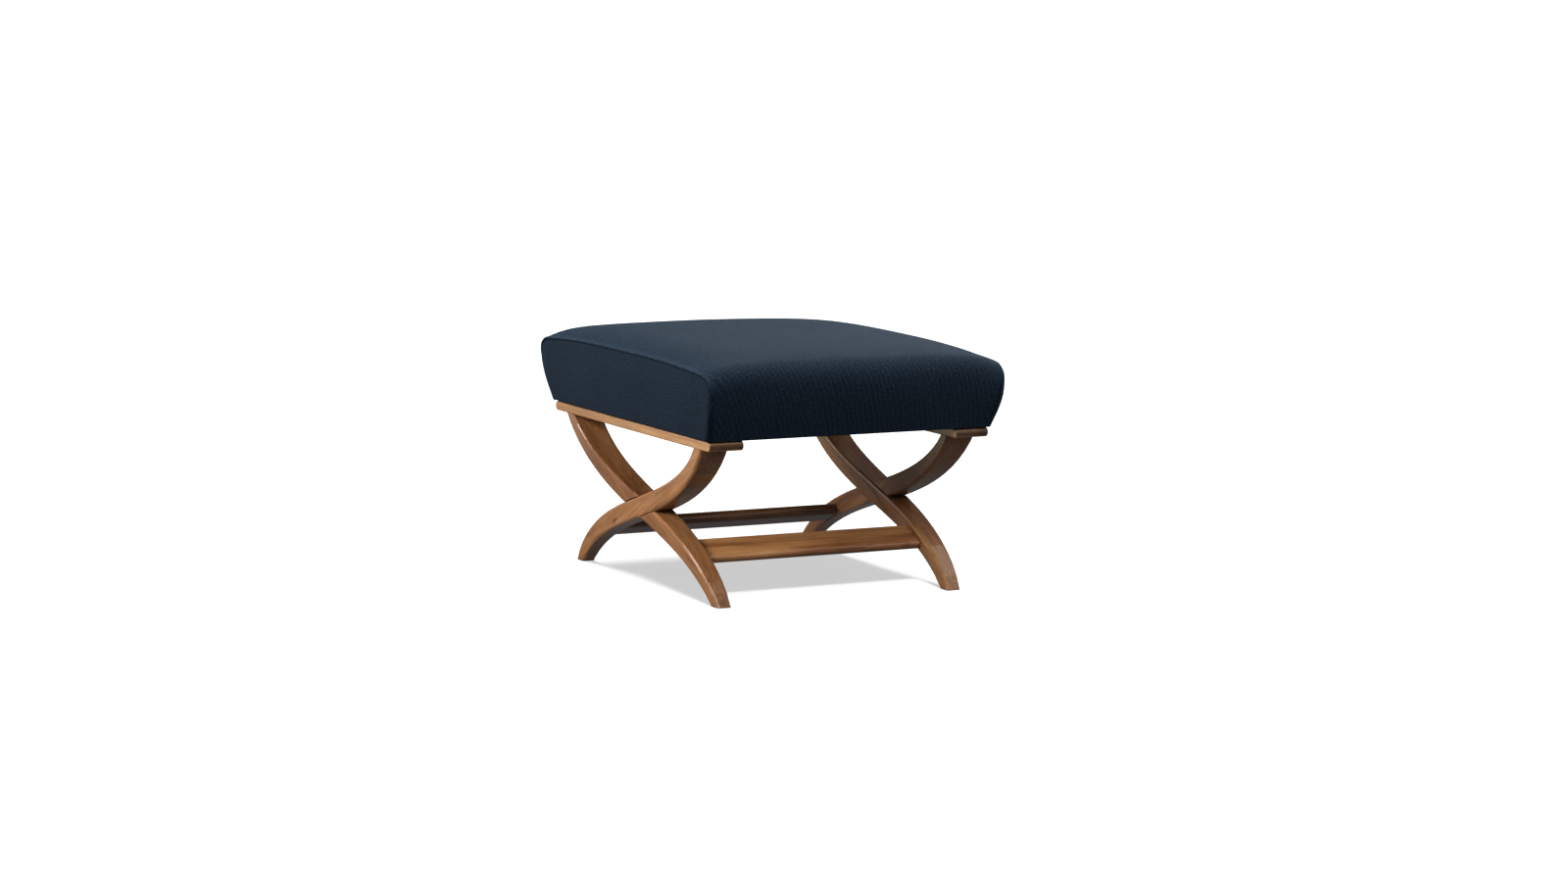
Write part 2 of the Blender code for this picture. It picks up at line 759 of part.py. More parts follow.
def turn_under(bm, edges, x_step, y_step):
    """The hem: a strip folded in from the bottom edge."""
    hem = bmesh.ops.extrude_edge_only(bm, edges=edges)
    for item in hem["geom"]:
        if isinstance(item, bmesh.types.BMVert):
            item.co.x *= 1 - x_step / seat_half_width
            item.co.y *= 1 - y_step / seat_half_length


def face_out(bm, face, outward):
    """Turns every face the way that makes the given one look outward."""
    bmesh.ops.recalc_face_normals(bm, faces=bm.faces)
    bm.normal_update()
    if face.normal.dot(Vector(outward)) < 0:
        bmesh.ops.reverse_faces(bm, faces=bm.faces)


def add_cloth(name, bm):
    mesh = bpy.data.meshes.new(name)
    bm.to_mesh(mesh)
    bm.free()
    panel = add_object(name, mesh, fabric, parts)
    thicken(panel, cover_thickness)
    shade(panel)


def make_main_panel():
    """One cloth panel that runs up the front, over the top and down the back, and turns under.

    Its hems stop short of the corners, where the cloth is cut away to lie flat.
    """
    bm = bmesh.new()
    rows = wrap_strip(bm, 0.0)
    middle = bm.verts[:][len(rows) // 2 * (seat_columns + 1) + seat_columns // 2].link_faces[0]
    for row in (rows[0], rows[-1]):
        edges = [bm.edges.get(pair) for pair in zip(row[2:-3], row[3:-2])]
        turn_under(bm, edges, 0, hem_width)
    face_out(bm, middle, (0, 0, 1))
    add_cloth("cover_main_panel", bm)


def make_side_panel(side):
    """The cloth side, sewn inside the edge of the main panel, with its hem turned under."""
    bm = bmesh.new()
    inset = cover_thickness + seam_gap
    verts = [bm.verts.new((side * side_face(z), y, z)) for y, z in full_profile(inset)]
    wall = bm.faces.new(verts)
    turn_under(bm, [bm.edges.get((verts[0], verts[-1]))], hem_width, hem_width)
    face_out(bm, wall, (side, 0, 0))
    add_cloth(f"cover_{side_names[side]}_panel", bm)


def make_dust_cloth():
    """The black cloth that closes the underside, stapled over the hems."""
    half_x = seat_half_width - dust_cloth_margin
    half_y = seat_half_length - dust_cloth_margin
    mesh = box_mesh("dust_cloth", (-half_x, -half_y, dust_cloth_bottom),
                    (half_x, half_y, dust_cloth_bottom + dust_cloth_thickness))
    cloth = add_object("dust_cloth", mesh, dust_cloth, parts)
    for side in (-1, 1):
        for index, (x, y) in enumerate(screw_places(side)):
            hole = rod_mesh(f"dust_hole_{side_names[side]}_{index}", screw_thread_diameter / 2 + clearance,
                            (x, y, dust_cloth_bottom - overrun), (x, y, board_bottom), 10)
            cut(cloth, add_cutter(hole.name, hole))


clear_scene()
parts = new_collection("pouf")
cutters = new_collection("pouf_cutters")
wood = make_material("lacquered wood", (0.24, 0.12, 0.055), 0.35)
dowel_wood = make_material("beech dowel", (0.55, 0.38, 0.22), 0.6)
frame_wood = make_material("sawn pine", (0.60, 0.44, 0.27), 0.75)
steel = make_material("zinc plated steel", (0.62, 0.62, 0.60), 0.35, 1.0)
strap_cloth = make_material("webbing", (0.30, 0.22, 0.13), 0.9)
hessian_cloth = make_material("hessian", (0.42, 0.32, 0.19), 0.95)
foam = make_material("foam", (0.80, 0.76, 0.62), 0.95)
fabric = make_material("navy wool cloth", (0.020, 0.032, 0.055), 0.9)
dust_cloth = make_material("dust cloth", (0.02, 0.02, 0.02), 0.95)

for side in (-1, 1):
    for foot in (-1, 1):
        make_leg(side, foot)
        make_rail_dowels(side, foot)
        make_stretcher_dowels(side, foot)
        make_corner_block(side, foot)
    make_rail(side)
    for index, (x, y) in enumerate(screw_places(side)):
        make_screw(side, index, x, y)
    make_side_panel(side)
for foot in (-1, 1):
    make_stretcher(foot)
make_seat_boards()
make_webbing()
make_hessian()
make_foam()
make_edge_strips()
make_main_panel()
make_dust_cloth()
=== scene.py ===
# %% [markdown]
# # An upholstered footstool on crossed legs
# Two side frames of curved, crossed legs carry a padded seat. The solid model of the
# joinery is already made, so this lesson dresses it: it loads the wooden frame, sets up
# a small photo studio, stuffs and covers the seat, and then finishes wood, cloth and steel.
# Everything is in metres, with Z up, X along the front and the front facing -Y.

# %% Load the joinery
from math import cos, pi, radians, sin, sqrt, tan

import bmesh
import bpy
import numpy as np
from mathutils import Matrix, Vector, noise
from mathutils.geometry import delaunay_2d_cdt
from mathutils.kdtree import KDTree


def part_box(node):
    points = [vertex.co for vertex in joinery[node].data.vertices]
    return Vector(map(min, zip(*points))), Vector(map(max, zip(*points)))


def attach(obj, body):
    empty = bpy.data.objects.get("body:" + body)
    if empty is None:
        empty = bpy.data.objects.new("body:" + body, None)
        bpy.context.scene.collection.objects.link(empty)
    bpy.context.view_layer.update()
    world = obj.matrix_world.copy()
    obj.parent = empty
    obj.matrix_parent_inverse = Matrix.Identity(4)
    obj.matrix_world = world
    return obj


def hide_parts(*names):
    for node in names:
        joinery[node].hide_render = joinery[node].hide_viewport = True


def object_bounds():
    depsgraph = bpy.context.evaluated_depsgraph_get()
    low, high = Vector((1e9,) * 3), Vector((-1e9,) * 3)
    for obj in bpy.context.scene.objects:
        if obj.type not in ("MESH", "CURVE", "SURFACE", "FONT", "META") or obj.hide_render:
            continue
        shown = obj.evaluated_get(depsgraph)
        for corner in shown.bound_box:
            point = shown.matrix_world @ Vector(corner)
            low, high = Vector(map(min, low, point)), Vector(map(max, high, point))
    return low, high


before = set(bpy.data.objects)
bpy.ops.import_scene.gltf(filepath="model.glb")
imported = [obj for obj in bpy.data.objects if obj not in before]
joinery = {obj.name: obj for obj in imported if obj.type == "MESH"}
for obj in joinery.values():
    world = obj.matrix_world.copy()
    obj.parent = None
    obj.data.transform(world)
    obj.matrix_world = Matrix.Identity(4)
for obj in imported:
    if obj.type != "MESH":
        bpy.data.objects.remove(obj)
solid_low, solid_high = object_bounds()
solid_size = [round((b - a) * 1000) for a, b in zip(solid_low, solid_high)]
print("joinery pieces:", len(joinery), "box in mm:", solid_size)

# %% [markdown]
# ## Camera
# The stool is seen from the front left, from a little above, through a long lens. A long
# lens could be swapped for a nearer, wider one, but then the far legs would look too small.

# %% Place the camera
turn, tilt, roll = radians(-28.696), radians(7.790), radians(1.022)
level_right = Vector((cos(turn), sin(turn), 0))
look = -Vector((sin(turn) * cos(tilt), -cos(turn) * cos(tilt), sin(tilt)))
level_up = level_right.cross(look)
right = level_right * cos(roll) + level_up * sin(roll)
up = level_up * cos(roll) - level_right * sin(roll)

lens = bpy.data.cameras.new("studio camera")
lens.lens = 92.25
lens.sensor_width = 36
lens.clip_end = 300
camera = bpy.data.objects.new("studio camera", lens)
bpy.context.scene.collection.objects.link(camera)
camera.matrix_world = (Matrix.Translation((-3.2653, -6.0241, 1.1704))
                       @ Matrix((right, up, -look)).transposed().to_4x4())
bpy.context.scene.camera = camera
print("camera distance in metres:", round(camera.location.length, 2))

# %% [markdown]
# ## Floor and light
# The stool stands on a wide white sweep that glows a little, so that the shadow on it stays
# pale. Two suns light the floor alone, one from the front and one from the back: only where
# the seat hides both does the floor turn grey, so the shadow is smaller than the seat. The
# floor is kept out of bounced light and of reflections, which would wash out the undersides
# of the legs. A warm card on the left, seen only in reflections, takes its place in the
# lacquer.

# %% Lay the floor
bpy.context.scene.view_settings.view_transform = "Standard"
ground = -0.0002


def stage_plane(name, low, high, colour, glow, tint=(1, 1, 1)):
    """A flat sheet on the ground, for the studio only."""
    mesh = bpy.data.meshes.new(name)
    corners = ((low[0], low[1]), (high[0], low[1]), (high[0], high[1]), (low[0], high[1]))
    mesh.from_pydata([(x, y, ground) for x, y in corners], [], [(0, 1, 2, 3)])
    plane = bpy.data.objects.new(name, mesh)
    bpy.context.scene.collection.objects.link(plane)
    matt = bpy.data.materials.new(name)
    matt.use_nodes = True
    shader = matt.node_tree.nodes["Principled BSDF"]
    shader.inputs["Base Color"].default_value = (colour, colour, colour, 1)
    shader.inputs["Roughness"].default_value = 0.9
    shader.inputs["Specular IOR Level"].default_value = 0.0
    shader.inputs["Emission Color"].default_value = (*tint, 1)
    shader.inputs["Emission Strength"].default_value = glow
    mesh.materials.append(matt)
    return plane


floor = stage_plane("floor", (-120, -120), (120, 120), 0.5, 0.575)
floor.visible_diffuse = False
floor.visible_glossy = False
card = stage_plane("warm card", (-3.2, -0.6), (-0.6, 3.0), 0.0, 1.3, (1, 0.82, 0.58))
card.visible_camera = False
card.visible_diffuse = False
card.visible_shadow = False
print("floor in metres:", round(floor.dimensions.x), "by", round(floor.dimensions.y))

# %% [markdown]
# Each lamp lights only part of the scene. Two soft panels light wood and cloth together; the
# others light the wood alone or the cloth alone, so that each can be balanced by itself. The
# strips and sheens are seen in the lacquer and add no soft light of their own. Two of the
# sheens pass through the seat, which would hide them from the legs below it.

# %% Hang the lights
floor_alone = bpy.data.collections.new("floor alone")
floor_alone.objects.link(floor)
cloth_alone = bpy.data.collections.new("cloth alone")
wood_alone = bpy.data.collections.new("wood alone")
all_but_floor = bpy.data.collections.new("all but the floor")
all_but_floor.objects.link(floor)
all_but_floor.collection_objects[0].light_linking.link_state = "EXCLUDE"
white = (1, 1, 1)
stool_middle = (0, 0, 0.15)


def add_light(name, kind, power, place, aim, lights, **settings):
    """A lamp at a place, turned to face what it lights."""
    data = bpy.data.lights.new(name, kind)
    data.energy = power
    for setting, value in settings.items():
        setattr(data, setting, value)
    lamp = bpy.data.objects.new(name, data)
    bpy.context.scene.collection.objects.link(lamp)
    lamp.location = place
    lamp.rotation_euler = (Vector(aim) - Vector(place)).to_track_quat("-Z", "Y").to_euler()
    lamp.light_linking.receiver_collection = lights
    return lamp


def add_panel(name, power, place, size, lights, tint=white):
    """A rectangular lamp that faces the middle of the stool."""
    return add_light(name, "AREA", power, place, stool_middle, lights, shape="RECTANGLE",
                     size=size[0], size_y=size[1], color=tint)


suns = (("front floor sun", (-0.28, -0.60, 1)), ("back floor sun", (0.18, 0.29, 1)))
for name, place in suns:
    add_light(name, "SUN", 3.5, place, (0, 0, 0), floor_alone, angle=radians(15))

panels = (("left back panel", 52, (-2.0, 1.6, 1.0), (1.6, 0.6), all_but_floor, white),
          ("right front panel", 26, (1.5, -2.0, 1.9), (2.0, 1.5), all_but_floor, white),
          ("left panel", 31, (-1.6, -0.6, 0.85), (0.9, 0.5), wood_alone, (1, 1, 0.92)),
          ("front panel", 14, (-0.45, -1.7, 2.6), (1.2, 0.8), wood_alone, (1, 0.94, 0.90)),
          ("high left panel", 37, (-2.3, -0.7, 1.5), (1.6, 0.6), cloth_alone, (0.80, 0.95, 1)),
          ("overhead panel", 75, (0, 0, 3.0), (1.5, 1.5), cloth_alone, white),
          ("high back panel", 24, (0.8, 1.0, 2.6), (1.2, 1.2), cloth_alone, white),
          ("right panel", 41, (2.5, -1.2, 0.9), (1.6, 0.8), cloth_alone, white),
          ("right back panel", 21, (2.0, 1.5, 1.5), (1.6, 0.8), cloth_alone, white))
kept_out_of_gloss = ("right front panel", "left panel")
for name, power, place, size, lights, tint in panels:
    panel = add_panel(name, power, place, size, lights, tint)
    panel.visible_glossy = name not in kept_out_of_gloss

gloss_lamps = (("left strip", 30, (-2.2, 0.1, 1.9), (1.8, 0.25)),
               ("front strip", 58, (-0.7, -1.95, 1.8), (0.07, 2.6)),
               ("low sheen", 4, (1.2, -1.6, 0.9), (1.0, 1.6)),
               ("right sheen", 6, (1.9, -0.6, 2.0), (1.4, 1.6)),
               ("high sheen", 13, (1.5, -0.5, 2.4), (1.4, 2.6)))
through_the_seat = ("right sheen", "high sheen")
for name, power, place, size in gloss_lamps:
    lamp = add_panel(name, power, place, size, wood_alone)
    lamp.visible_diffuse = False
    if name in through_the_seat:
        lamp.light_linking.blocker_collection = floor_alone

world = bpy.data.worlds.new("studio")
bpy.context.scene.world = world
world.use_nodes = True
world.node_tree.nodes["Background"].inputs["Color"].default_value = (0.95, 0.97, 1.0, 1)
world.node_tree.nodes["Background"].inputs["Strength"].default_value = 0.14
print("suns:", len(suns), "panels:", len(panels), "lamps for the lacquer:", len(gloss_lamps))

# %% [markdown]
# ## Shape of the seat
# Seen from the side, the end of the seat leans outwards, turns over a rounded shoulder and
# follows a gentle crown. Seen from the front, the seat is crowned again. One curve swept
# across the width could be pulled into shape by hand; here each point is worked out from
# sizes. The underside, the overhang and the flare of the sides are those of the solid model,
# so the cover fits the joinery. The shoulder is a little higher and rounder, and some sizes
# belong to the cloth alone: the faces belly out, the hems hang, and a used seat sits lower on
# the right and is pressed in at one corner.

# %% Sizes of the seat
seat_bottom = 0.2812
seat_half_length = 0.29314
seat_half_width = 0.2715
shoulder_overhang, shoulder_rise, shoulder_round = 0.0320, 0.1057, 0.0280
seam_crown, seam_crown_power = 0.0142, 3
panel_crown, panel_crown_power = 0.0218, 8
side_flare = 0.0138
seat_height = shoulder_rise + seam_crown
end_belly, side_belly = 0.0080, 0.0028
hem_round, hem_width = 0.0020, 0.0200
hem_drop, hem_drop_fade = 0.0018, 0.008
hem_drop_start, hem_drop_run = 0.286, 0.005
right_settling = 0.0026
corner_press, press_reach, pressed_corner = 0.0034, 0.030, Vector((0.284, -0.316, 0.383))
lean_steps, bend_steps, crown_steps = 13, 8, 32


def half_side_view():
    """The seat's side view from the turned hem at the back to the middle of the top."""
    foot = Vector((seat_half_length, seat_bottom))
    shoulder = foot + Vector((shoulder_overhang, shoulder_rise))
    lean = (shoulder - foot).normalized()
    inward = Vector((-shoulder.x, seam_crown_power * seam_crown)).normalized()
    corners = [(Vector((1, 0)), lean, foot, hem_round), (lean, inward, shoulder, shoulder_round)]
    points = [Vector((foot.x - hem_width, foot.y)), Vector((foot.x - hem_width / 2, foot.y))]
    for way_in, way_out, corner, radius in corners:
        bend = way_in.angle(way_out)
        set_back = radius * tan(bend / 2)
        start, end = corner - way_in * set_back, corner + way_out * set_back
        if corner is shoulder:
            last = points[-1]
            points += [last.lerp(start, step / lean_steps) for step in range(1, lean_steps)]
        for step in range(bend_steps + 1):
            share = step / bend_steps
            points.append(start * (1 - share) ** 2 + corner * 2 * share * (1 - share) + end * share ** 2)
    reach_in, top = points[-1].x, seat_bottom + seat_height
    rise = top - points[-1].y
    for step in range(1, crown_steps + 1):
        y = reach_in * (1 - step / crown_steps)
        points.append(Vector((y, top - rise * (y / reach_in) ** seam_crown_power)))
    return [(point.x, point.y) for point in points]


def belly(height):
    """How far along its bulge the cloth is, from 0 at the hem to 1 half way up."""
    return np.sin(pi * np.clip((np.asarray(height) - seat_bottom) / shoulder_rise, 0, 1))


half_view = half_side_view()
side_view = np.array([(-y, z) for y, z in half_view] + half_view[-2::-1])
side_view[:, 0] += np.sign(side_view[:, 0]) * end_belly * belly(side_view[:, 1])
along = np.concatenate([[0], np.cumsum(np.linalg.norm(np.diff(side_view, axis=0), axis=1))])
print("cloth from hem to hem in mm:", round(along[-1] * 1000), "rows:", len(side_view))


def seat_side(height):
    """Half the seat's width at a height: the sides lean out a little."""
    lean_out = (height - seat_bottom) * side_flare / seat_height
    return seat_half_width + lean_out + side_belly * belly(height)


def seat_points(across):
    """Every row of the side view, at each share of the width from -1 to 1."""
    y, z = side_view[:, :1], side_view[:, 1:]
    across = np.atleast_2d(across)
    raise_by = 1 + panel_crown / seat_height * (1 - np.abs(across) ** panel_crown_power)
    raised = seat_bottom + (z - seat_bottom) * raise_by
    return np.stack([across * seat_side(z), y + 0 * across, raised], axis=2)


def settled(points):
    """A used seat: lower on the right, pressed in at one corner, its hems hanging a little."""
    x, y, z = points[..., 0], points[..., 1], points[..., 2]
    right_share = np.clip(x / seat_half_width, 0, 1) * (z - seat_bottom) / seat_height
    away = np.linalg.norm(points - np.array(pressed_corner), axis=-1)
    press = corner_press * np.exp(-(away / press_reach) ** 2)
    at_ends = np.clip((np.abs(y) - hem_drop_start) / hem_drop_run, 0, 1)
    hang = hem_drop * at_ends * np.exp(-np.maximum(z - seat_bottom, 0) / hem_drop_fade)
    return np.stack([x - press, y + press, z - right_settling * right_share - hang], axis=-1)


def outward(points, width):
    """The outward direction at each point of a grid, from the way across it."""
    run = np.gradient(points, axis=0)
    normal = np.cross(width, run)
    return normal / np.linalg.norm(normal, axis=2, keepdims=True)


# %% [markdown]
# ## Stuffing
# Inside the cover is a crowned foam block, with firm foam strips round the frame boards.
# A carved block would look hard. Here a slightly small block is wrapped in a fine skin and
# blown up as cloth under light pressure: it swells most between the seams, as foam does
# under a tight cover.

# %% Build the foam a little small
pad_inset, pad_edge_inset, cover_inset, pad_cap = 0.0030, 0.0040, 0.0008, 0.0045
pad_columns = 61
pad_shares = np.linspace(-1, 1, pad_columns)
pad_top = seat_points(pad_shares * (1 - pad_inset / seat_half_width))
pad_edge = np.interp(pad_shares, [-1, -0.96, 0.96, 1], [pad_edge_inset, 0, 0, pad_edge_inset])
pad_out = outward(pad_top, np.gradient(pad_top, axis=1))
pad_grid = settled(pad_top - pad_out * (pad_inset + pad_edge)[None, :, None])
pad_shape = bmesh.new()
pad_points = [[pad_shape.verts.new(point) for point in row] for row in pad_grid]
for row, following in zip(pad_points[:-1], pad_points[1:]):
    for column in range(pad_columns - 1):
        pad_shape.faces.new((row[column], row[column + 1], following[column + 1], following[column]))
pad_shape.faces.new([row[0] for row in pad_points])
pad_shape.faces.new([row[-1] for row in pad_points])
pad_shape.faces.new(pad_points[0] + pad_points[-1][::-1])
bmesh.ops.triangulate(pad_shape, faces=[face for face in pad_shape.faces if len(face.verts) > 4])
bmesh.ops.recalc_face_normals(pad_shape, faces=pad_shape.faces)
pad_mesh = bpy.data.meshes.new("seat_foam")
pad_shape.to_mesh(pad_mesh)
pad_shape.free()
seat_foam = bpy.data.objects.new("seat_foam", pad_mesh)
bpy.context.scene.collection.objects.link(seat_foam)


def settle(piece, modifier):
    """Makes a modifier's result the piece's own mesh."""
    graph = bpy.context.evaluated_depsgraph_get()
    result = bpy.data.meshes.new_from_object(piece.evaluated_get(graph))
    piece.modifiers.remove(modifier)
    old, piece.data = piece.data, result
    bpy.data.meshes.remove(old)


def places(mesh):
    """A mesh's points as an array."""
    flat = np.empty(len(mesh.vertices) * 3)
    mesh.vertices.foreach_get("co", flat)
    return flat.reshape(-1, 3)


skin = seat_foam.modifiers.new("skin", "REMESH")
skin.mode = "VOXEL"
skin.voxel_size = 0.006
settle(seat_foam, skin)
print("foam skin points:", len(seat_foam.data.vertices))

# %% [markdown]
# The cloth solver runs for a few steps only, without gravity, and its result becomes the
# foam's own shape. The part that lies against the boards is held, and how far any point may
# move is capped. The cover asks later how far the foam under it has swollen, and follows it.

# %% Blow it up as cloth
held_height, held_fade, swell_steps = 0.055, 0.035, 20
foam_start = places(seat_foam.data)
foam_move = np.zeros_like(foam_start)
held = seat_foam.vertex_groups.new(name="held")
for index, place in enumerate(foam_start):
    hold = min(1.0, max(0.0, (seat_bottom + held_height - place[2]) / held_fade))
    if hold > 0:
        held.add([index], hold, "REPLACE")
swell = seat_foam.modifiers.new("swell", "CLOTH")
swell.settings.use_pressure = True
swell.settings.uniform_pressure_force = 0.35
swell.settings.tension_stiffness = 40
swell.settings.compression_stiffness = 40
swell.settings.bending_stiffness = 8
swell.settings.air_damping = 4
swell.settings.vertex_group_mass = "held"
swell.settings.effector_weights.gravity = 0
swell.settings.quality = 5
swell.collision_settings.use_collision = False
swell.point_cache.frame_end = swell_steps
for step in range(1, swell_steps + 1):
    bpy.context.scene.frame_set(step)
graph = bpy.context.evaluated_depsgraph_get()
foam_move = places(seat_foam.evaluated_get(graph).data) - foam_start
seat_foam.modifiers.remove(swell)
bpy.context.scene.frame_set(1)
far = np.linalg.norm(foam_move, axis=1)
print("foam moved in mm, most:", round(far.max() * 1000, 1), "mean:", round(far.mean() * 1000, 1))
foam_move *= (np.minimum(far, pad_cap) / np.maximum(far, 1e-9))[:, None]
seat_foam.data.vertices.foreach_set("co", (foam_start + foam_move).ravel())

neighbours, nearest_gap = 10, 0.002
foam_tree = KDTree(len(foam_start))
for index, place in enumerate(foam_start):
    foam_tree.insert(place, index)
foam_tree.balance()


def swell_at(points, directions):
    """How far the foam near each point has swollen outwards, the nearest points counting most."""
    out = []
    for point, way in zip(points, directions):
        near = foam_tree.find_n(point, neighbours)
        share = np.array([1 / (distance + nearest_gap) for _, _, distance in near])
        move = (foam_move[[index for _, index, _ in near]] * share[:, None]).sum(0) / share.sum()
        out.append(float(move @ way))
    return np.array(out)


# %% [markdown]
# The foam is hollow underneath, where the boards, webbing and hessian are. A box the size
# of that frame is cut out of it.

# %% Hollow the foam over the frame
hollow_gap, hollow_below = 0.0004, 0.03
board_box = [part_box(f"seat_frame_{name}_board") for name in ("left", "right", "front", "back")]
hollow_low = Vector([min(low[axis] for low, _ in board_box) - hollow_gap for axis in range(3)])
hollow_high = Vector([max(high[axis] for _, high in board_box) + hollow_gap for axis in range(3)])
hollow_low.z -= hollow_below
hollow_high.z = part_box("foam_block")[0].z
hollow_shape = bmesh.new()
bmesh.ops.create_cube(hollow_shape, size=1)
bmesh.ops.scale(hollow_shape, vec=hollow_high - hollow_low, verts=hollow_shape.verts)
bmesh.ops.translate(hollow_shape, vec=(hollow_high + hollow_low) / 2, verts=hollow_shape.verts)
hollow_mesh = bpy.data.meshes.new("frame hollow")
hollow_shape.to_mesh(hollow_mesh)
hollow_shape.free()
hollow = bpy.data.objects.new("frame hollow", hollow_mesh)
bpy.context.scene.collection.objects.link(hollow)
cut_out = seat_foam.modifiers.new("frame hollow", "BOOLEAN")
cut_out.object = hollow
cut_out.solver = "EXACT"
settle(seat_foam, cut_out)
bpy.data.objects.remove(hollow)
seat_foam.data.shade_smooth()
seat_foam.data.set_sharp_from_angle(angle=radians(50))
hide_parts("foam_block", "edge_foam_front", "edge_foam_back", "edge_foam_left", "edge_foam_right")
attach(seat_foam, "root")
print("foam faces:", len(seat_foam.data.polygons))

# %% [markdown]
# ## Cover
# The cover has three pieces of cloth: one runs up the front, over the top and down the
# back, and one closes each side. Over the top both edges turn in where they are sewn, so
# the seam is a narrow groove, and the main piece makes a soft ridge beside it, painted a
# little paler as a highlight. Down the upright corners the cloth turns round the foam in a small curve.
# Each piece is a fine grid, with more lines near the seam so that the groove can be real
# geometry. Every point keeps its place on the flat cloth, and how much painted highlight it gets there.
#
# The four seam lists describe the edge of the main piece, from the turned-in cloth to the
# plain cloth: how far in from the side each line of points lies, how far up, how much painted
# highlight it gets and how far in it lies on the flat cloth. The corner lists do the same for the upright
# corners.

# %% Make the main piece
cover_thickness, dust_thickness = 0.0011, 0.0005
seam_in = np.array([0.0025, 0.0016, 0.0008, 0.0002, 0, 0.0007, 0.0020, 0.0042, 0.0070, 0.0130, 0.0260])
seam_up = np.array([-0.0030, -0.0028, -0.0022, -0.0013, -0.0001, 0.0012, 0.0019, 0.0013, 0.0003, 0, 0])
# Painted highlight: how much paler the cloth is painted on the ridge beside the seam.
seam_ridge_highlight = np.array([0, 0, 0, 0.0003, 0.0007, 0.0010, 0.0010, 0.0005, 0, 0, 0])
seam_width = np.array([0, 0.0005, 0.0010, 0.0017, 0.0026, 0.0038, 0.0055, 0.0080, 0.0120, 0.0180, 0.0260])
corner_round = 0.0070
corner_end, top_seam_start = 0.070, 0.098
inner_lines, hem_rows, nudge = 47, 8, 0.001


def turned_corner(gap):
    """How far the cloth drops where it turns round an upright corner."""
    short = corner_round - np.minimum(gap, corner_round)
    return np.sqrt(corner_round ** 2 - short ** 2) - corner_round


def on_top(height):
    """0 where the seam runs up a corner, 1 where it runs over the top."""
    return np.interp(height, [seat_bottom + corner_end, seat_bottom + top_seam_start], [0, 1])


def cloth_piece(name, shape, thickness, cloth_spots, faces_out):
    """Turns a shape into a piece of cloth that keeps each point's place on the flat cloth.

    Its right side is found from a spot on it and the way the cloth faces there.
    """
    layer = shape.verts.layers.float_vector.new("cloth_place")
    for vertex in shape.verts:
        vertex[layer] = cloth_spots[vertex.index]
    bmesh.ops.recalc_face_normals(shape, faces=shape.faces)
    shape.normal_update()
    shape.faces.ensure_lookup_table()
    spot, way = Vector(faces_out[0]), Vector(faces_out[1])
    middle = min(shape.faces, key=lambda face: (face.calc_center_median() - spot).length)
    if middle.normal.dot(way) < 0:
        bmesh.ops.reverse_faces(shape, faces=shape.faces)
    mesh = bpy.data.meshes.new(name)
    shape.to_mesh(mesh)
    shape.free()
    piece = bpy.data.objects.new(name, mesh)
    bpy.context.scene.collection.objects.link(piece)
    cloth = piece.modifiers.new("cloth", "SOLIDIFY")
    cloth.thickness = thickness
    cloth.offset = -1
    settle(piece, cloth)
    piece.data.shade_smooth()
    piece.data.set_sharp_from_angle(angle=radians(75))
    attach(piece, "root")
    cloth_alone.objects.link(piece)
    return piece


meet = corner_round * (1 - sqrt(0.5))
corner_steps = np.array([0.0008, 0.0005, 0.0002, 0, 0.0003, 0.0010, 0.0022, 0.0036, 0.0055, 0.0110, 0.0240])
corner_in = meet + corner_steps
corner_up = turned_corner(corner_in) - np.array([0.0014, 0.0008, 0.0003, 0, 0, 0, 0, 0, 0, 0, 0])
over_top = on_top(side_view[:, 1:])
edge_share = (seam_in * over_top + corner_in * (1 - over_top)) / seat_half_width
edge_up = seam_up * over_top + corner_up * (1 - over_top)
inner_edge = 1 - seam_in[-1] / seat_half_width
inner_shares = np.linspace(-inner_edge, inner_edge, inner_lines)[1:-1]
inner_rows = np.tile(inner_shares, (len(side_view), 1))
shares = np.concatenate([-1 + edge_share, inner_rows, 1 - edge_share[:, ::-1]], axis=1)
lifts = np.concatenate([edge_up, 0 * inner_rows, edge_up[:, ::-1]], axis=1)
# The painted highlight on the seam ridge, only where the seam runs over the top.
edge_ridge_highlight = seam_ridge_highlight * over_top
ridge_highlights = np.concatenate([edge_ridge_highlight, 0 * inner_rows, edge_ridge_highlight[:, ::-1]], axis=1)
inner_widths = seat_half_width - np.abs(inner_shares) * seat_half_width
widths = np.concatenate([seam_width, inner_widths, seam_width[::-1]])
main_points = seat_points(shares)
main_out = outward(main_points, seat_points(shares + nudge) - seat_points(shares - nudge))
flat_points, flat_out = main_points.reshape(-1, 3), main_out.reshape(-1, 3)
fullness = swell_at(flat_points, flat_out).reshape(main_points.shape[:2])
main_points = settled(main_points + main_out * (fullness + lifts - cover_inset)[:, :, None])

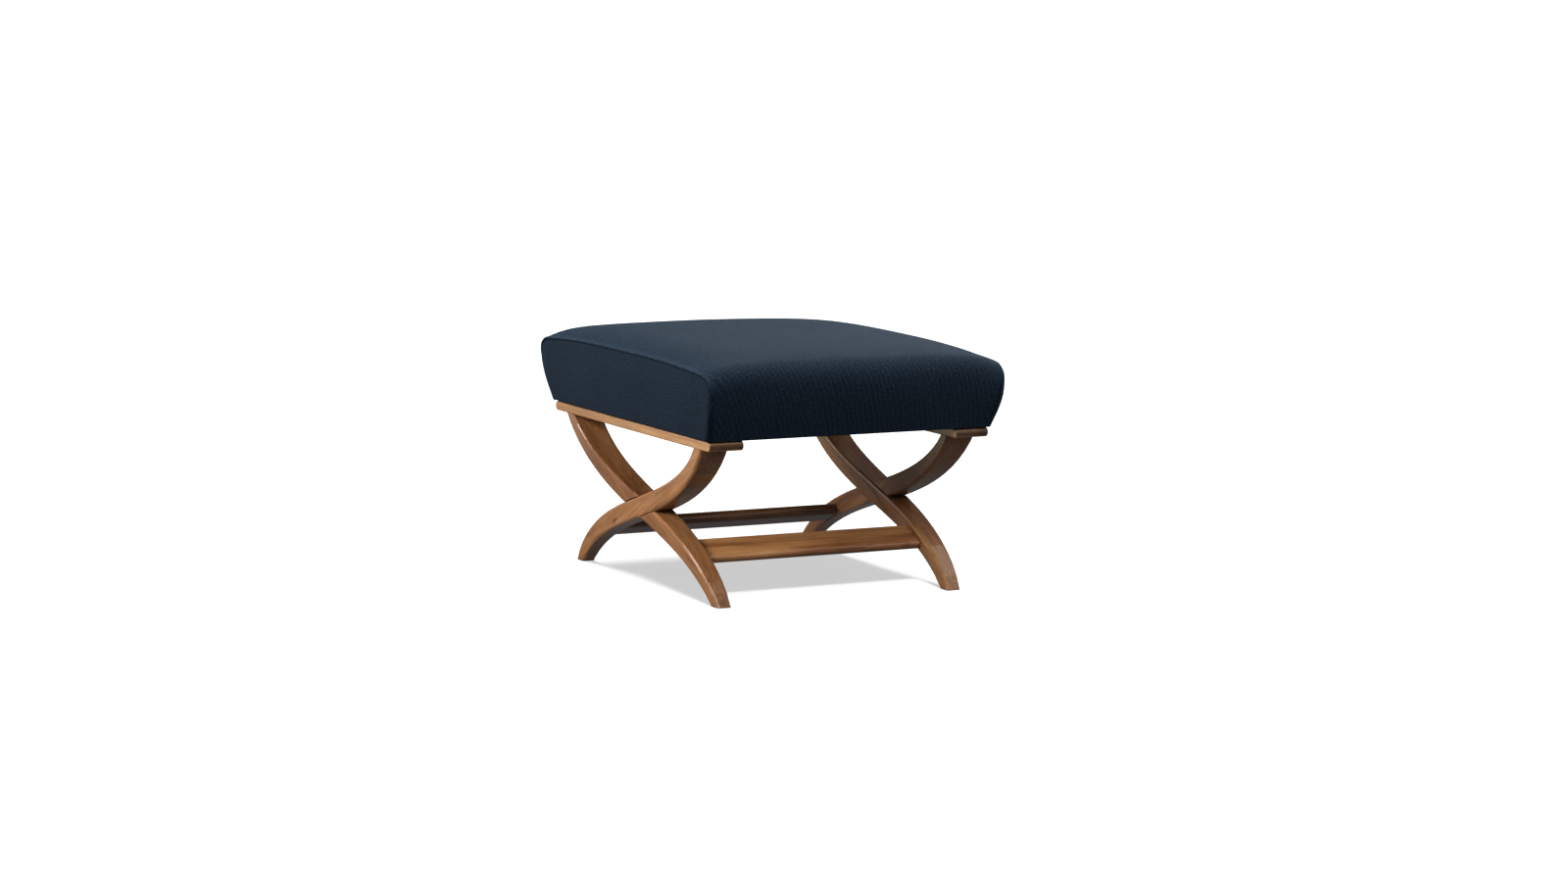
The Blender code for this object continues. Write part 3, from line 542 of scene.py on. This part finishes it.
main_shape = bmesh.new()
main_verts = [[main_shape.verts.new(point) for point in row] for row in main_points]
main_spots = []
for row_shares, row_ridge_highlights, length in zip(shares, ridge_highlights, along):
    for share, width, ridge_highlight in zip(row_shares, widths, row_ridge_highlights):
        main_spots.append((np.sign(share) * (seat_half_width - width), length, ridge_highlight))
for index, (row, following) in enumerate(zip(main_verts[:-1], main_verts[1:])):
    in_hem = index < hem_rows or index >= len(main_verts) - 1 - hem_rows
    for column in range(len(widths) - 1):
        if in_hem and min(widths[column], widths[column + 1]) < hem_width:
            continue
        main_shape.faces.new((row[column], row[column + 1], following[column + 1], following[column]))
loose = [vertex for vertex in main_shape.verts if not vertex.link_faces]
main_shape.verts.index_update()
main_spots = [spot for spot, vertex in zip(main_spots, main_shape.verts) if vertex.link_faces]
bmesh.ops.delete(main_shape, geom=loose, context="VERTS")
main_shape.verts.index_update()
main_cover = cloth_piece("main_cover", main_shape, cover_thickness, main_spots, ((0, 0, 0.42), (0, 0, 1)))
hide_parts("cover_main_panel")
main_flat = (2 * seat_half_width, float(along[-1]))
flat_size = [round(side * 1000) for side in main_flat]
print("main piece points:", len(main_cover.data.vertices), "flat size in mm:", flat_size)

# %% [markdown]
# Each side piece is cut to the seat's side view. Its outline has rings of points near the
# seam and a plain grid inside, joined into triangles; a regular grid could not follow the
# rounded shoulders.

# %% Make the side pieces
outline_inset, seam_rings, grid_along, grid_up = 0.0004, 8, 0.010, 0.009
grid_start, grid_gap, puff_run = 0.012, 0.011, 0.03
hem_steps, hem_columns, hem_margin = (0, 0.0012, 0.0025, 0.005), 59, 0.002
side_groove = np.array([-0.0045, -0.0043, -0.0039, -0.0033, -0.0026, -0.0014, -0.0004, 0, 0, 0, 0])
seam_line = side_view[hem_rows:-hem_rows]
half_line = seam_line[:len(seam_line) // 2 + 1][::-1]
seam_out = np.gradient(seam_line, axis=0)
seam_out = np.stack([-seam_out[:, 1], seam_out[:, 0]], axis=1)
seam_out /= np.linalg.norm(seam_out, axis=1, keepdims=True)


def side_spots():
    """The points of a side piece on the flat cloth, and its outline."""
    border = seam_line - seam_out * outline_inset
    spots = []
    for step in seam_width[:seam_rings]:
        ring = seam_line - seam_out * (step + outline_inset)
        spots += [tuple(spot) for spot in ring if spot[1] > seat_bottom + outline_inset / 2]
    for y in np.arange(-0.3, 0.301, grid_along):
        crown = np.interp(abs(y), -half_line[:, 0], half_line[:, 1])
        for z in np.arange(seat_bottom + grid_start, seat_bottom + seat_height, grid_up):
            if np.linalg.norm(border - (y, z), axis=1).min() > grid_gap and z < crown:
                spots.append((y, z))
    hem_end = seat_half_length - hem_margin
    for y in np.linspace(-hem_end, hem_end, hem_columns):
        spots += [(y, seat_bottom + step) for step in hem_steps]
    return spots, border


def make_side(side):
    """Sews one side piece into place."""
    spots, border = side_spots()
    outline = [Vector(spot) for spot in border]
    count = len(outline)
    loop = [(index, (index + 1) % count) for index in range(count)]
    points = outline + [Vector(spot) for spot in spots]
    flat, _, triangles, *_ = delaunay_2d_cdt(points, loop, [], 1, 1e-5)
    shape = bmesh.new()
    base = np.array([(side * seat_side(z), y, z) for y, z in flat])
    ways = np.tile((side * 1.0, 0.0, 0.0), (len(base), 1))
    full = swell_at(base, ways)
    verts = []
    for (y, z), place, puff in zip(flat, base, full):
        gaps = np.linalg.norm(border - (y, z), axis=1)
        gap, top_share = gaps.min(), on_top(border[gaps.argmin()][1])
        near = min(1.0, gap / puff_run)
        corner = turned_corner(gap) - max(0.0, meet - gap)
        groove = np.interp(gap, seam_width, side_groove)
        lift = groove * top_share + corner * (1 - top_share) + (puff - cover_inset) * near
        low = max(0.0, 1 - (z - seat_bottom) / hem_round)
        turn_in = hem_round * (1 - sqrt(max(0.0, 1 - low * low)))
        verts.append(shape.verts.new(settled(np.array((place[0] + side * (lift - turn_in), y, z)))))
    shape.verts.index_update()
    for triangle in triangles:
        shape.faces.new([verts[index] for index in triangle])
    return shape, [(y, z, 0) for y, z in flat]


for side, name in ((-1, "left"), (1, "right")):
    shape, spots = make_side(side)
    faces_out = ((side * 0.275, 0, 0.34), (side, 0, 0))
    cover = cloth_piece(f"{name}_side_cover", shape, cover_thickness, spots, faces_out)
    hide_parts(f"cover_{name}_panel")
    print(cover.name, "points:", len(cover.data.vertices))

# %% [markdown]
# ## Underside
# A thin black cloth closes the seat from below and keeps dust off the webbing. It is
# stretched over the hems and stapled, so it sags a little between its staples.

# %% Stretch the dust cloth
sag, ripple_height, ripple_scale = 0.0028, 0.0006, 14
rail_edge, rail_fade = 0.198, 0.06
under_low, under_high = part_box("dust_cloth")
under_middle = (under_low.z + under_high.z) / 2
dust_shape = bmesh.new()
bmesh.ops.create_grid(dust_shape, x_segments=64, y_segments=68, size=0.5)
dust_spots = []
for vertex in dust_shape.verts:
    u, v = vertex.co.x * 2, vertex.co.y * 2
    x, y = u * under_high.x, v * under_high.y
    past_rail = min(1.0, max(0.0, (rail_edge - abs(x)) / rail_fade))
    hang = sag * (1 - u * u) * (1 - v * v) * past_rail
    wave = noise.noise(Vector((x * ripple_scale, y * ripple_scale, 3.0)))
    ripple = ripple_height * wave * past_rail * (1 - v ** 4)
    vertex.co = (x, y, under_middle - hang + min(0.0, ripple))
    dust_spots.append((x, y, 0))
faces_out = ((0, 0, under_low.z), (0, 0, -1))
dust_cover = cloth_piece("dust_cover", dust_shape, dust_thickness, dust_spots, faces_out)
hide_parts("dust_cloth")
print("dust cloth in mm:", round(2000 * under_high.x), "by", round(2000 * under_high.y))

# %% [markdown]
# ## Finishes
# Every finish is built from shader nodes, so it has detail at any distance. Small helpers
# add the nodes. A plain number fills a socket, and another node's output is linked to it.

# %% Helpers for shader nodes
def add(tree, kind, inputs=None, **settings):
    """Adds a shader node to a tree and returns it."""
    node = tree.nodes.new(kind)
    for name, value in settings.items():
        setattr(node, name, value)
    for key, value in (inputs or {}).items():
        if isinstance(value, bpy.types.NodeSocket):
            tree.links.new(value, node.inputs[key])
        else:
            node.inputs[key].default_value = value
    return node


def maths(tree, operation, first, second=0.0, third=0.0):
    """One sum, on numbers or on other nodes' outputs."""
    node = add(tree, "ShaderNodeMath", {0: first, 1: second, 2: third}, operation=operation)
    return node.outputs[0]


def colours(tree, share, stops):
    """A colour ramp with a colour at each place."""
    node = add(tree, "ShaderNodeValToRGB", {"Fac": share})
    ramp = node.color_ramp
    while len(ramp.elements) < len(stops):
        ramp.elements.new(0.5)
    for element, (place, colour) in zip(ramp.elements, stops):
        element.position = place
        element.color = (*colour, 1)
    return node.outputs["Color"]


def weighted(tree, *terms):
    """The sum of some values, each times its weight."""
    total = 0.0
    for value, weight in terms:
        total = maths(tree, "MULTIPLY_ADD", value, weight, total)
    return total


def fitted(tree, value, low, high, to_low=0.0, to_high=1.0):
    """Stretches one range of values to another and holds it at the ends."""
    node = add(tree, "ShaderNodeMapRange", {"Value": value, "From Min": low, "From Max": high,
                                            "To Min": to_low, "To Max": to_high})
    return node.outputs["Result"]


def speckle(tree, place, scale, detail, roughness=0.5, distortion=0.0):
    """Smooth random values at a place."""
    node = add(tree, "ShaderNodeTexNoise", {"Vector": place, "Scale": scale, "Detail": detail,
                                            "Roughness": roughness, "Distortion": distortion})
    return node.outputs["Fac"]


def blended(tree, share, first, second):
    """A blend of two colours, each plain or another node's output."""
    first, second = (colour if isinstance(colour, bpy.types.NodeSocket) else (*colour, 1)
                     for colour in (first, second))
    node = add(tree, "ShaderNodeMix", {"Factor": share, "A": first, "B": second}, data_type="RGBA")
    return node.outputs[2]


def dimmed(tree, colour, share):
    """A colour times a number."""
    node = add(tree, "ShaderNodeVectorMath", {0: colour, 3: share}, operation="SCALE")
    return node.outputs[0]


def along_way(tree, vector, way):
    """How far a vector goes along a direction."""
    node = add(tree, "ShaderNodeVectorMath", {0: vector, 1: way}, operation="DOT_PRODUCT")
    return node.outputs["Value"]


def object_place(tree):
    """Where a point is on its own piece, in metres."""
    return add(tree, "ShaderNodeTexCoord").outputs["Object"]


def relief(tree, shader, height, strength, distance):
    """Gives a finish a fine relief."""
    bump = add(tree, "ShaderNodeBump", {"Height": height, "Strength": strength, "Distance": distance})
    tree.links.new(bump.outputs["Normal"], shader.inputs["Normal"])


def new_finish(name, roughness=0.5, **sockets):
    """An empty finish with its plain numbers set."""
    material = bpy.data.materials.new(name)
    material.use_nodes = True
    shader = material.node_tree.nodes["Principled BSDF"]
    shader.inputs["Roughness"].default_value = roughness
    for socket, value in sockets.items():
        shader.inputs[socket.replace("_", " ")].default_value = value
    return material, material.node_tree, shader


def paint(piece, material):
    """Makes a material the only one of a piece."""
    piece.data.materials.clear()
    piece.data.materials.append(material)


print("shader nodes come from helpers such as", add.__name__, "and", weighted.__name__)

# %% [markdown]
# ### Lacquered wood
# The legs, rails and stretchers are a fine-grained hardwood, stained mid brown under a
# satin lacquer. The grain runs along each board, so every board gets its own grain
# direction and its own cut of the same pattern. Streaks come from noise stretched along
# the grain, pores from much finer noise, and small dark knots from the middles of stretched
# cells. Painted shade darkens the stain in corners and where pieces meet. The sawn ends are
# darker, from stain sinking in and from painted shade as well, and the stain thins to a
# warmer tone on the rounded edges.

# %% Wood
figure_scale, streak_scale, pore_scale = (2.2, 17, 17), (9, 230, 230), (110, 1900, 1900)
knot_scale, knot_middle, knot_rim, knot_tone = (6, 16, 16), 0.03, 0.09, 0.45
worn_round, corner_shade_reach = 0.0035, 0.008


def grain_space(tree, run, side_way, shift):
    """Coordinates in metres: along the grain, across it, and through the board."""
    moved = add(tree, "ShaderNodeVectorMath", {0: object_place(tree), 1: shift}, operation="ADD").outputs[0]
    return [along_way(tree, moved, tuple(way)) for way in (run, side_way, run.cross(side_way))]


def stretched(tree, parts, scales):
    """The grain coordinates scaled apart, as one vector."""
    scaled = [maths(tree, "MULTIPLY", part, scale) for part, scale in zip(parts, scales)]
    return add(tree, "ShaderNodeCombineXYZ", {0: scaled[0], 1: scaled[1], 2: scaled[2]}).outputs[0]


def wood(name, run, side_way, shift, tones, roughness=0.36, coat=0.5):
    """A board of wood, with three tones from dark to light."""
    material, tree, shader = new_finish(name, roughness, Coat_Weight=coat, Coat_Roughness=0.16, Coat_IOR=1.5,
                                        Specular_IOR_Level=0.2)
    run, side_way = Vector(run).normalized(), Vector(side_way).normalized()
    parts = grain_space(tree, run, side_way, shift)
    figure = speckle(tree, stretched(tree, parts, figure_scale), 1.0, 4.0, 0.55, 0.6)
    streaks = speckle(tree, stretched(tree, parts, streak_scale), 1.0, 5.0, 0.62)
    pores = speckle(tree, stretched(tree, parts, pore_scale), 1.0, 2.0)
    tone = colours(tree, weighted(tree, (figure, 0.62), (streaks, 0.38)),
                   [(0.36, tones[0]), (0.5, tones[1]), (0.64, tones[2])])
    pore_share = maths(tree, "MULTIPLY", fitted(tree, pores, 0.60, 0.68), 0.45)
    porous = blended(tree, pore_share, tone, [part * 0.35 for part in tones[0]])

    smoothed = add(tree, "ShaderNodeBevel", {"Radius": worn_round}, samples=6).outputs[0]
    face = add(tree, "ShaderNodeNewGeometry").outputs["True Normal"]
    worn = fitted(tree, along_way(tree, smoothed, face), 0.98, 0.88, 0.0, 0.6)
    edge_tone = (tones[2][0] * 1.15, tones[2][1] * 0.75, tones[2][2] * 0.6)
    thinned = blended(tree, worn, porous, edge_tone)

    # Painted shade: ambient occlusion darkens the stain in corners and where pieces meet.
    corner = add(tree, "ShaderNodeAmbientOcclusion", {"Distance": corner_shade_reach}, samples=6).outputs["AO"]
    painted_corner_shade = fitted(tree, corner, 0.25, 0.8, 0.42, 1.0)
    cells = add(tree, "ShaderNodeTexVoronoi", {"Vector": stretched(tree, parts, knot_scale), "Scale": 1.0})
    knotted = fitted(tree, cells.outputs["Distance"], knot_middle, knot_rim, knot_tone, 1.0)
    # Sawn ends darker: stain sinking in, with painted shade on top of it.
    facing = along_way(tree, add(tree, "ShaderNodeTexCoord").outputs["Normal"], tuple(run))
    end_grain_and_shade = fitted(tree, maths(tree, "ABSOLUTE", facing), 0.78, 0.98, 1.0, 0.24)
    shade = maths(tree, "MULTIPLY", maths(tree, "MULTIPLY", painted_corner_shade, knotted), end_grain_and_shade)
    tree.links.new(dimmed(tree, thinned, shade), shader.inputs["Base Color"])

    gloss = fitted(tree, streaks, 0.3, 0.7, roughness - 0.06, roughness + 0.08)
    tree.links.new(gloss, shader.inputs["Roughness"])
    height = maths(tree, "SUBTRACT", maths(tree, "MULTIPLY", streaks, 0.35), pore_share)
    relief(tree, shader, height, 0.12, 0.0006)
    return material


def dress(node_name, material):
    """Gives a piece of joinery its finish, and soft shading on its rounded edges."""
    piece = joinery[node_name]
    paint(piece, material)
    piece.data.shade_smooth()
    piece.data.set_sharp_from_angle(angle=radians(38))
    wood_alone.objects.link(piece)


stain = [(0.112, 0.0395, 0.0135), (0.233, 0.098, 0.0365), (0.352, 0.176, 0.071)]
rail_stain = [(0.105, 0.038, 0.013), (0.215, 0.094, 0.035), (0.325, 0.168, 0.068)]
# Painted light and shade: the front stretcher's tones are made brighter and the back stretcher's darker, for
# the light that falls on each.
stretcher_painted_light = {"front_stretcher": 1.5, "back_stretcher": 0.6}
for number, node_name in enumerate(sorted(name for name in joinery if name.endswith("_leg"))):
    lean = -1 if node_name.startswith("back") else 1
    dress(node_name, wood(f"stained leg {number + 1}", (0, lean * 0.88, 0.47), (1, 0, 0),
                          (0.31 * number, 0.17 * number, 0.23), stain))
for number, node_name in enumerate(("left_top_rail", "right_top_rail")):
    dress(node_name, wood(f"stained rail {number + 1}", (0, 1, 0), (1, 0, 0),
                          (0.5 + number, 0.2, 0.4), rail_stain))
for number, (node_name, strength) in enumerate(stretcher_painted_light.items()):
    # The stain tones scaled by the stretcher's painted light or painted shade.
    tones = [tuple(strength * part for part in tone) for tone in stain]
    dress(node_name, wood(f"stained stretcher {number + 1}", (1, 0, 0), (0, 0.9, 0.43),
                          (0.3, 0.7 + number, 0.1), tones))

# %% [markdown]
# ### Bare timber, webbing and steel
# These pieces are inside the seat or in the joints. They are finished too, because someone
# may turn the stool over or open the cover.

# %% Inner finishes
pine = [(0.42, 0.27, 0.13), (0.58, 0.40, 0.22), (0.70, 0.52, 0.32)]
beech = [(0.46, 0.28, 0.16), (0.58, 0.38, 0.23), (0.68, 0.48, 0.31)]
pine_long = wood("sawn pine lengthways", (0, 1, 0), (1, 0, 0), (0.1, 0.2, 0.3), pine, 0.75, 0.0)
pine_cross = wood("sawn pine crossways", (1, 0, 0), (0, 1, 0), (0.4, 0.2, 0.3), pine, 0.75, 0.0)
beech_up = wood("beech dowel upright", (0, 0, 1), (1, 0, 0), (0.1, 0.1, 0.1), beech, 0.6, 0.0)
beech_level = wood("beech dowel level", (1, 0, 0), (0, 1, 0), (0.1, 0.1, 0.1), beech, 0.6, 0.0)


def steel_finish():
    """Zinc plate: cloudy."""
    material, tree, shader = new_finish("zinc plated steel", 0.34, Metallic=1.0)
    cloud = speckle(tree, object_place(tree), 900.0, 3.0)
    zinc = colours(tree, cloud, [(0.3, (0.50, 0.49, 0.46)), (0.7, (0.74, 0.74, 0.72))])
    tree.links.new(zinc, shader.inputs["Base Color"])
    tree.links.new(fitted(tree, cloud, 0.0, 1.0, 0.24, 0.48), shader.inputs["Roughness"])
    return material


def woven(name, warp, weft, pitch, gap_colour, roughness=0.9):
    """A plain weave on a level sheet: two sets of threads, over and under each other."""
    material, tree, shader = new_finish(name, roughness)
    x, y, _ = add(tree, "ShaderNodeSeparateXYZ", {0: object_place(tree)}).outputs
    waves = [maths(tree, "SINE", maths(tree, "MULTIPLY", way, pi / pitch)) for way in (x, y)]
    over = maths(tree, "GREATER_THAN", maths(tree, "MULTIPLY", *waves), 0.0)
    height = maths(tree, "MULTIPLY", *(maths(tree, "ABSOLUTE", wave) for wave in waves))
    threads = blended(tree, over, warp, weft)
    shade = blended(tree, fitted(tree, height, 0.0, 0.35), gap_colour, threads)
    tree.links.new(shade, shader.inputs["Base Color"])
    relief(tree, shader, height, 0.5, pitch * 0.3)
    return material


steel = steel_finish()
jute = woven("jute webbing", (0.36, 0.25, 0.13), (0.28, 0.19, 0.10), 0.0016, (0.07, 0.045, 0.02))
hessian = woven("hessian", (0.47, 0.35, 0.20), (0.40, 0.29, 0.16), 0.0022, (0.10, 0.07, 0.035))
for node_name in joinery:
    if "screw" in node_name:
        dress(node_name, steel)
    elif "rail_dowel" in node_name:
        dress(node_name, beech_up)
    elif "stretcher_dowel" in node_name:
        dress(node_name, beech_level)
    elif node_name in ("seat_frame_front_board", "seat_frame_back_board"):
        dress(node_name, pine_cross)
    elif "seat_frame" in node_name or "corner_block" in node_name:
        dress(node_name, pine_long)
    elif "webbing" in node_name:
        dress(node_name, jute)
    elif "hessian" in node_name:
        dress(node_name, hessian)

# %% [markdown]
# ### Cover cloth
# The cover is a navy wool twill. Twill shows fine ribs that climb across the cloth at a
# steep angle; close by you see the ribs, from further off only a faint banding. The ribs
# follow each piece's own flat cloth, which was kept as a measure on its points, so they
# run true round the shoulders. The same measure puts a painted highlight on the ridge beside
# the seam, and painted shade darkens the seam's groove. A little sheen stands for the wool's
# loose fibres.

# %% Navy twill
rib_pitch, thread_pitch, band_pitch = 0.0016, 0.0009, 0.0085
ridge_highlight_strength, groove_shade_reach = 550.0, 0.006


def twill_finish():
    """Ribs, threads and flecks of lighter fibre."""
    material, tree, shader = new_finish("navy wool twill", 0.82, Sheen_Weight=0.02, Sheen_Roughness=0.45,
                                        Sheen_Tint=(0.55, 0.65, 0.85, 1), Specular_IOR_Level=0.05)
    spot = add(tree, "ShaderNodeAttribute", attribute_name="cloth_place").outputs["Vector"]
    across, upward, ridge_highlight = add(tree, "ShaderNodeSeparateXYZ", {0: spot}).outputs
    steep = weighted(tree, (across, 0.92), (upward, 0.40))
    wander = speckle(tree, spot, 30.0, 2.0)
    rib = maths(tree, "SINE", weighted(tree, (steep, 2 * pi / rib_pitch), (wander, 3.0)))
    thread = maths(tree, "SINE", maths(tree, "MULTIPLY", upward, 2 * pi / thread_pitch))
    height = weighted(tree, (rib, 0.7), (thread, 0.1))
    band = maths(tree, "SINE", weighted(tree, (steep, 2 * pi / band_pitch), (wander, 5.0)))
    fleck = speckle(tree, spot, 1300.0, 3.0, 0.7)
    mottle = maths(tree, "SUBTRACT", speckle(tree, spot, 260.0, 4.0, 0.75), 0.5)
    cloud = speckle(tree, spot, 9.0, 3.0)
    light = weighted(tree, (height, 0.015), (band, 0.08), (fleck, 0.65), (mottle, 1.9), (cloud, 0.25))
    navy = colours(tree, light, [(0.12, (0.0040, 0.0086, 0.0150)), (0.40, (0.0079, 0.0146, 0.0246)),
                                 (0.70, (0.0158, 0.0262, 0.0415))])
    # Painted highlight: the cloth is made paler on the ridge beside the seam.
    painted_ridge_light = maths(tree, "MULTIPLY_ADD", ridge_highlight, ridge_highlight_strength, 1.0)
    # Painted shade: ambient occlusion darkens the cloth in the seam's groove.
    groove = add(tree, "ShaderNodeAmbientOcclusion", {"Distance": groove_shade_reach}, samples=8).outputs["AO"]
    painted_groove_shade = fitted(tree, groove, 0.45, 0.92, 0.04, 1.0)
    shaded = dimmed(tree, navy, maths(tree, "MULTIPLY", painted_groove_shade, painted_ridge_light))
    tree.links.new(shaded, shader.inputs["Base Color"])
    relief(tree, shader, weighted(tree, (fleck, 0.8), (height, 1.0)), 0.16, 0.0003)
    return material


twill = twill_finish()
for piece in (main_cover, bpy.data.objects["left_side_cover"], bpy.data.objects["right_side_cover"]):
    paint(piece, twill)
print("cover finished:", twill.name)

# %% [markdown]
# ### Foam and dust cloth
# Both are fine noise in two tones: open cells for the foam, matted fibres for the cloth.

# %% Foam and dust cloth
def felted(name, tones, scale, roughness):
    """Two tones of fine noise, with a little relief."""
    material, tree, shader = new_finish(name, roughness)
    fibre = speckle(tree, object_place(tree), scale, 5.0, 0.7)
    tree.links.new(colours(tree, fibre, [(0.35, tones[0]), (0.65, tones[1])]), shader.inputs["Base Color"])
    relief(tree, shader, fibre, 0.4, 0.0004)
    return material


foam = felted("upholstery foam", ((0.70, 0.64, 0.46), (0.86, 0.82, 0.68)), 700.0, 0.95)
black = felted("black dust cloth", ((0.010, 0.010, 0.011), (0.035, 0.035, 0.037)), 1500.0, 0.9)
paint(seat_foam, foam)
paint(dust_cover, black)
print("soft pieces finished:", seat_foam.name, dust_cover.name)
